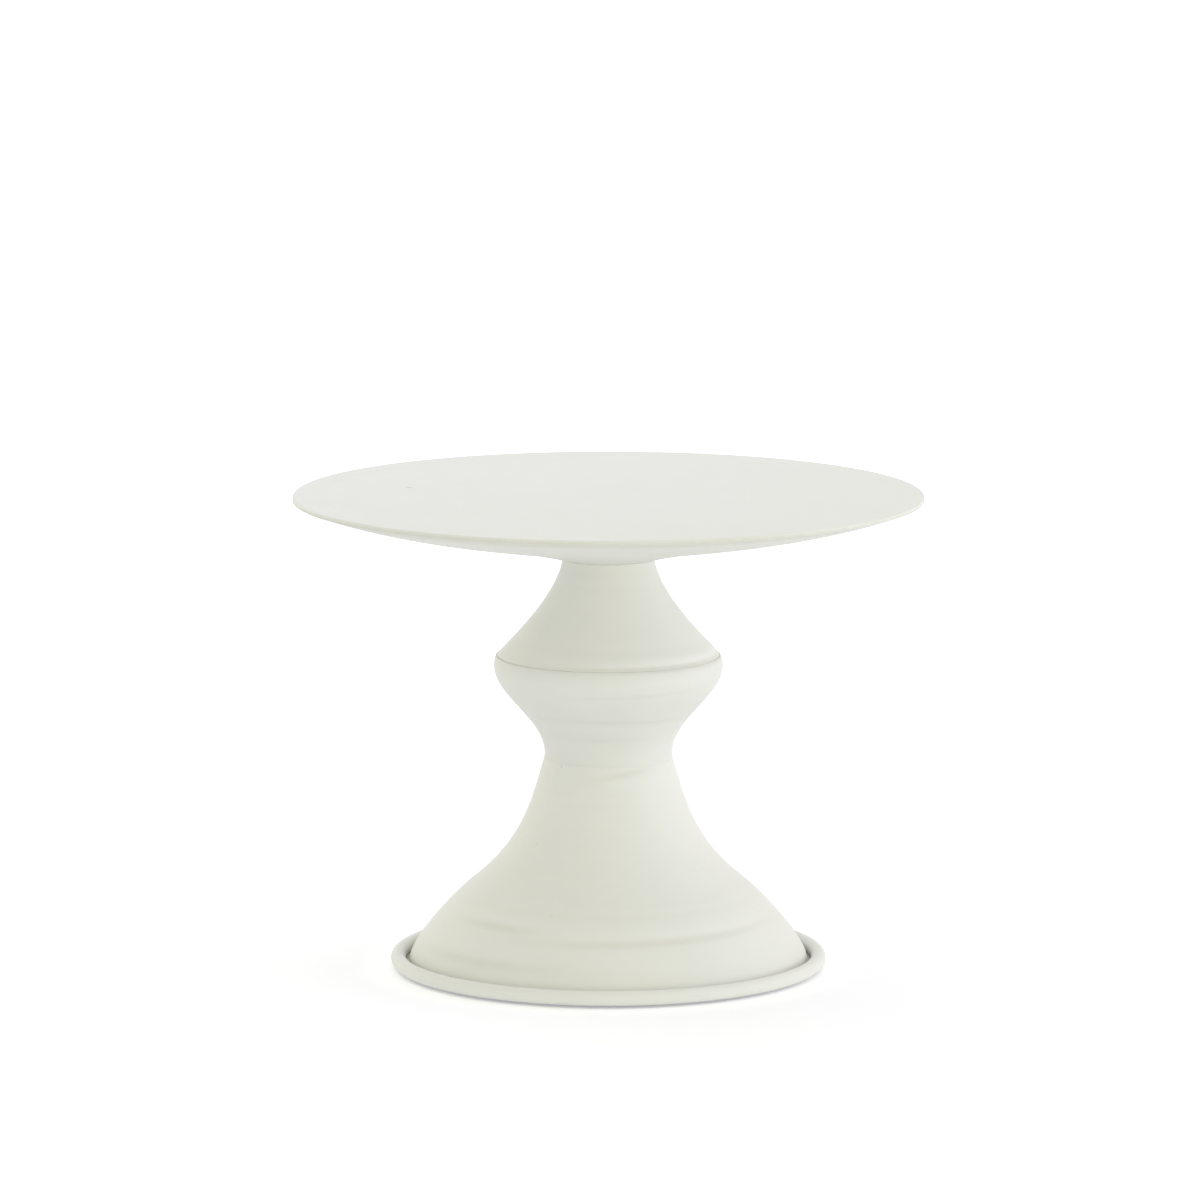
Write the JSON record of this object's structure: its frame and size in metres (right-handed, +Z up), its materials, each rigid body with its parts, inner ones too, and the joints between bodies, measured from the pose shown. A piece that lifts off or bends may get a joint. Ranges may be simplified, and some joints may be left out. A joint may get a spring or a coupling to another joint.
{
  "type": "cake stand",
  "caption": "Round pedestal cake stand in matte white sheet metal: thin flat plate on a turned knop-and-waist pedestal with a flared skirt and a rolled bead foot.",
  "frame": {"origin": "middle of the foot, on the table that the pads stand on", "axes": "+Z up along the stand's axis, from the foot to the plate; the four pads lie between the +X and +Y axes"},
  "size_m": [0.3, 0.3, 0.228],
  "materials": {
    "white_coat": "matte",
    "plain_steel": "satin",
    "plated_steel": "satin",
    "washer_nylon": "matte",
    "pad_rubber": "matte"
  },
  "bodies": {
    "root": {"plate_disc": "white_coat", "plate_pan": "white_coat", "plate_hub": "plain_steel", "neck_gasket": "washer_nylon", "neck_cap": "plain_steel", "upper_shell": "white_coat", "middle_shell": "white_coat", "skirt_shell": "white_coat", "foot_tray": "white_coat", "bead_wire": "plain_steel", "tie_rod": "plated_steel", "rod_lock_nut": "plated_steel", "base_washer": "plated_steel", "spring_washer": "plated_steel", "base_nut": "plated_steel", "foot_pad_1": "pad_rubber", "foot_pad_2": "pad_rubber", "foot_pad_3": "pad_rubber", "foot_pad_4": "pad_rubber"}
  },
  "joints": []
}
